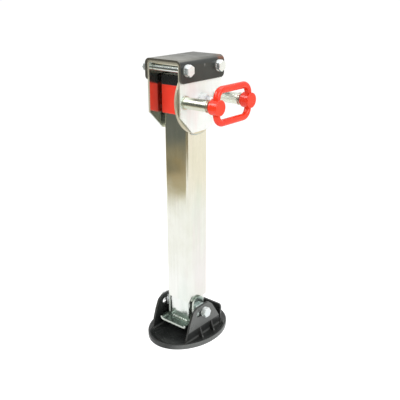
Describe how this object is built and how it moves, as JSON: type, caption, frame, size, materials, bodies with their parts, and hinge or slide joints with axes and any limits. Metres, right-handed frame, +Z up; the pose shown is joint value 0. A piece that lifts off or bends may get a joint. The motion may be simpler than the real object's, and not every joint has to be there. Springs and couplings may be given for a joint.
{
  "type": "trailer prop stand",
  "caption": "Swing-up trailer prop stand with a telescopic square leg, sprung locking plungers on a loop handle and a tilting oval foot.",
  "frame": {"origin": "on the ground under the axis of the leg, in the plane of the foot's underside", "axes": "+Z up along the leg, +X across the head towards the release handle, +Y along the head, the way the leg swings"},
  "size_m": [0.1645, 0.16, 0.4855],
  "materials": {
    "black_paint": "satin black paint, brown at one corner",
    "zinc": "bright zinc plate",
    "bright_zinc": "bright zinc plated fasteners",
    "spring_steel": "drawn spring wire",
    "red_plastic": "smooth red moulding",
    "black_plastic": "fine grained black moulding"
  },
  "bodies": {
    "head": {"saddle_cover": "black_paint", "housing": "zinc", "cover_bolts": "bright_zinc", "cover_washers": "bright_zinc", "cover_nuts": "bright_zinc", "pivot_bolt": "bright_zinc", "pivot_washers": "bright_zinc", "pivot_nut": "bright_zinc", "pivot_sleeve": "zinc", "plunger_barrels": "zinc", "barrel_caps": "bright_zinc", "plunger_springs": "spring_steel"},
    "plungers": {"plunger_pins": "bright_zinc", "release_handle": "red_plastic"},
    "leg": {"index_plate_right": "zinc", "pivot_spacer": "zinc", "pivot_block": "red_plastic", "top_pad": "black_plastic", "outer_tube": "zinc", "clamp_nut": "bright_zinc", "clamp_bolt": "bright_zinc"},
    "slide_leg": {"inner_tube": "zinc", "foot_shoe": "zinc"},
    "foot_joint": {"foot_bolt": "bright_zinc", "foot_spacer_nuts": "bright_zinc", "foot_washers": "bright_zinc", "foot_lock_nut": "bright_zinc"},
    "foot": {"foot_pad": "black_plastic"}
  },
  "joints": [
    {"name": "leg_swing", "type": "hinge", "parent": "head", "child": "leg", "pos_m": [0, 0, 0.422], "axis": [1, 0, 0], "range_deg": [-90, 90]},
    {"name": "handle_pull", "type": "slide", "parent": "head", "child": "plungers", "axis": [1, 0, 0], "range_m": [-0.0043, 0.008], "stiffness_N_per_m": 6000, "springref_m": -0.01, "deforming": ["plunger_springs"]},
    {"name": "leg_extend", "type": "slide", "parent": "leg", "child": "slide_leg", "axis": [0, 0, -1], "range_m": [0, 0.15]},
    {"name": "foot_tilt", "type": "hinge", "parent": "slide_leg", "child": "foot_joint", "pos_m": [0, -0.004, 0.05], "axis": [1, 0, 0], "range_deg": [-20, 20]},
    {"name": "foot_slide", "type": "slide", "parent": "foot_joint", "child": "foot", "axis": [0, 1, 0], "range_m": [0, 0.015]}
  ]
}
